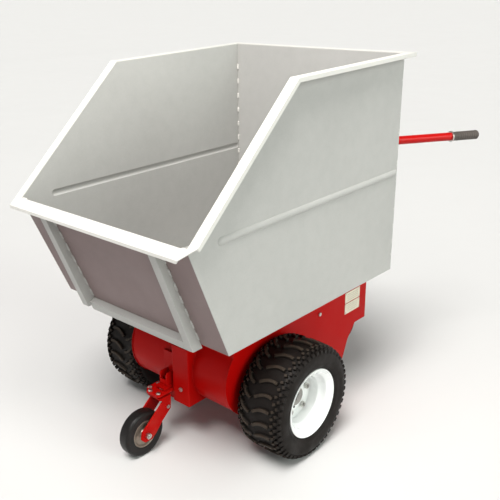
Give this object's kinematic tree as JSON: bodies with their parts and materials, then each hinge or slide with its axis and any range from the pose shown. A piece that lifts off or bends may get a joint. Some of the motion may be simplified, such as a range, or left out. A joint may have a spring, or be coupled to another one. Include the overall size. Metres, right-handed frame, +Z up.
{
  "type": "garden cart",
  "caption": "Powered garden cart with a large open tipping hopper, lugged drive wheels under its middle, swivel casters at its front and rear, and two rear handles.",
  "frame": {"origin": "on the ground, directly under the middle of the drive axle", "axes": "+Z up, +Y towards the handles, -Y towards the dump lip, +X to the operator's left"},
  "size_m": [0.874, 1.7096, 1.3032],
  "materials": {
    "hopper_paint": "satin",
    "frame_paint": "gloss",
    "black_cover": "satin",
    "zinc": "satin",
    "shaft_steel": "satin",
    "motor_paint": "satin",
    "cast_case": "matte",
    "lead_plates": "matte",
    "battery_case": "matte",
    "black_plastic": "matte",
    "rim_paint": "gloss",
    "tyre_rubber": "matte",
    "caster_rubber": "matte",
    "caster_metal": "satin",
    "grip_rubber": "matte",
    "pad_rubber": "matte",
    "label_plate": "satin"
  },
  "bodies": {
    "chassis": {"chassis_left_plate": "frame_paint", "chassis_right_plate": "frame_paint", "front_shell": "frame_paint", "deck_plate": "frame_paint", "belly_pan": "frame_paint", "tail_panel": "frame_paint", "rear_cover": "black_cover", "hinge_ears": "frame_paint", "hinge_pins": "zinc", "rest_pads": "pad_rubber", "battery_cases": "battery_case", "battery_cells": "lead_plates", "gearbox": "cast_case", "drive_motor": "motor_paint", "axle_tubes": "shaft_steel", "controller": "black_plastic", "front_post": "frame_paint", "caster_bracket": "frame_paint", "rear_caster_mount": "frame_paint", "frame_bolts": "zinc", "data_plate": "label_plate", "latch_bracket": "frame_paint", "handle_left": "frame_paint", "handle_right": "frame_paint", "handle_brace": "frame_paint", "grip_left": "grip_rubber", "grip_collars": "zinc", "control_box": "black_plastic"},
    "hopper": {"hopper_floor": "hopper_paint", "hopper_left_side": "hopper_paint", "hopper_right_side": "hopper_paint", "hopper_rear_wall": "hopper_paint", "hopper_front_panel": "hopper_paint", "rim_left": "hopper_paint", "rim_right": "hopper_paint", "rim_rear": "hopper_paint", "rim_front": "hopper_paint", "upright_left": "hopper_paint", "upright_right": "hopper_paint", "front_crossmember": "hopper_paint", "hinge_lugs": "hopper_paint", "latch_striker": "hopper_paint"},
    "wheel_left": {"hub_left": "shaft_steel", "wheel_rim_left": "rim_paint", "tyre_left": "tyre_rubber", "lug_nuts_left": "zinc"},
    "wheel_right": {"hub_right": "shaft_steel", "wheel_rim_right": "rim_paint", "tyre_right": "tyre_rubber", "lug_nuts_right": "zinc"},
    "caster_swivel": {"caster_fork": "frame_paint", "caster_fasteners": "zinc"},
    "caster_wheel": {"caster_hub": "caster_metal", "caster_tyre": "caster_rubber"},
    "throttle": {"throttle_grip": "grip_rubber"},
    "key": {"key": "shaft_steel"},
    "rear_swivel": {"rear_caster_fork": "frame_paint"},
    "rear_wheel": {"rear_caster_hub": "caster_metal", "rear_caster_tyre": "caster_rubber"},
    "latch": {"latch_lever": "zinc"}
  },
  "joints": [
    {"name": "hopper_dump", "type": "hinge", "parent": "chassis", "child": "hopper", "pos_m": [0, -0.225, 0.488], "axis": [1, 0, 0], "range_deg": [0, 80]},
    {"name": "left_wheel_spin", "type": "hinge", "parent": "chassis", "child": "wheel_left", "pos_m": [0.342, 0, 0.203], "axis": [1, 0, 0], "continuous": true},
    {"name": "right_wheel_spin", "type": "hinge", "parent": "chassis", "child": "wheel_right", "pos_m": [-0.342, 0, 0.203], "axis": [1, 0, 0], "continuous": true},
    {"name": "caster_swivel", "type": "hinge", "parent": "chassis", "child": "caster_swivel", "pos_m": [-0.028, -0.263, 0.2], "axis": [0, 0, 1], "range_deg": [-60, 60]},
    {"name": "caster_wheel_spin", "type": "hinge", "parent": "caster_swivel", "child": "caster_wheel", "pos_m": [-0.028, -0.3695, 0.082], "axis": [1, 0, 0], "continuous": true},
    {"name": "throttle_twist", "type": "hinge", "parent": "chassis", "child": "throttle", "pos_m": [-0.389, 1.162, 0.9318], "axis": [-0.4223, 0.9062, -0.0221], "range_deg": [0, 45], "stiffness_Nm_per_rad": 0.4},
    {"name": "key_turn", "type": "hinge", "parent": "chassis", "child": "key", "pos_m": [-0.045, 0.668, 0.75], "axis": [0, 0, 1], "range_deg": [-90, 0]},
    {"name": "rear_swivel_turn", "type": "hinge", "parent": "chassis", "child": "rear_swivel", "pos_m": [0, 0.58, 0.2], "axis": [0, 0, 1], "continuous": true},
    {"name": "rear_wheel_spin", "type": "hinge", "parent": "rear_swivel", "child": "rear_wheel", "pos_m": [0, 0.545, 0.085], "axis": [1, 0, 0], "continuous": true},
    {"name": "latch_swing", "type": "hinge", "parent": "chassis", "child": "latch", "pos_m": [0, 0.578, 0.492], "axis": [1, 0, 0], "range_deg": [0, 40]}
  ]
}
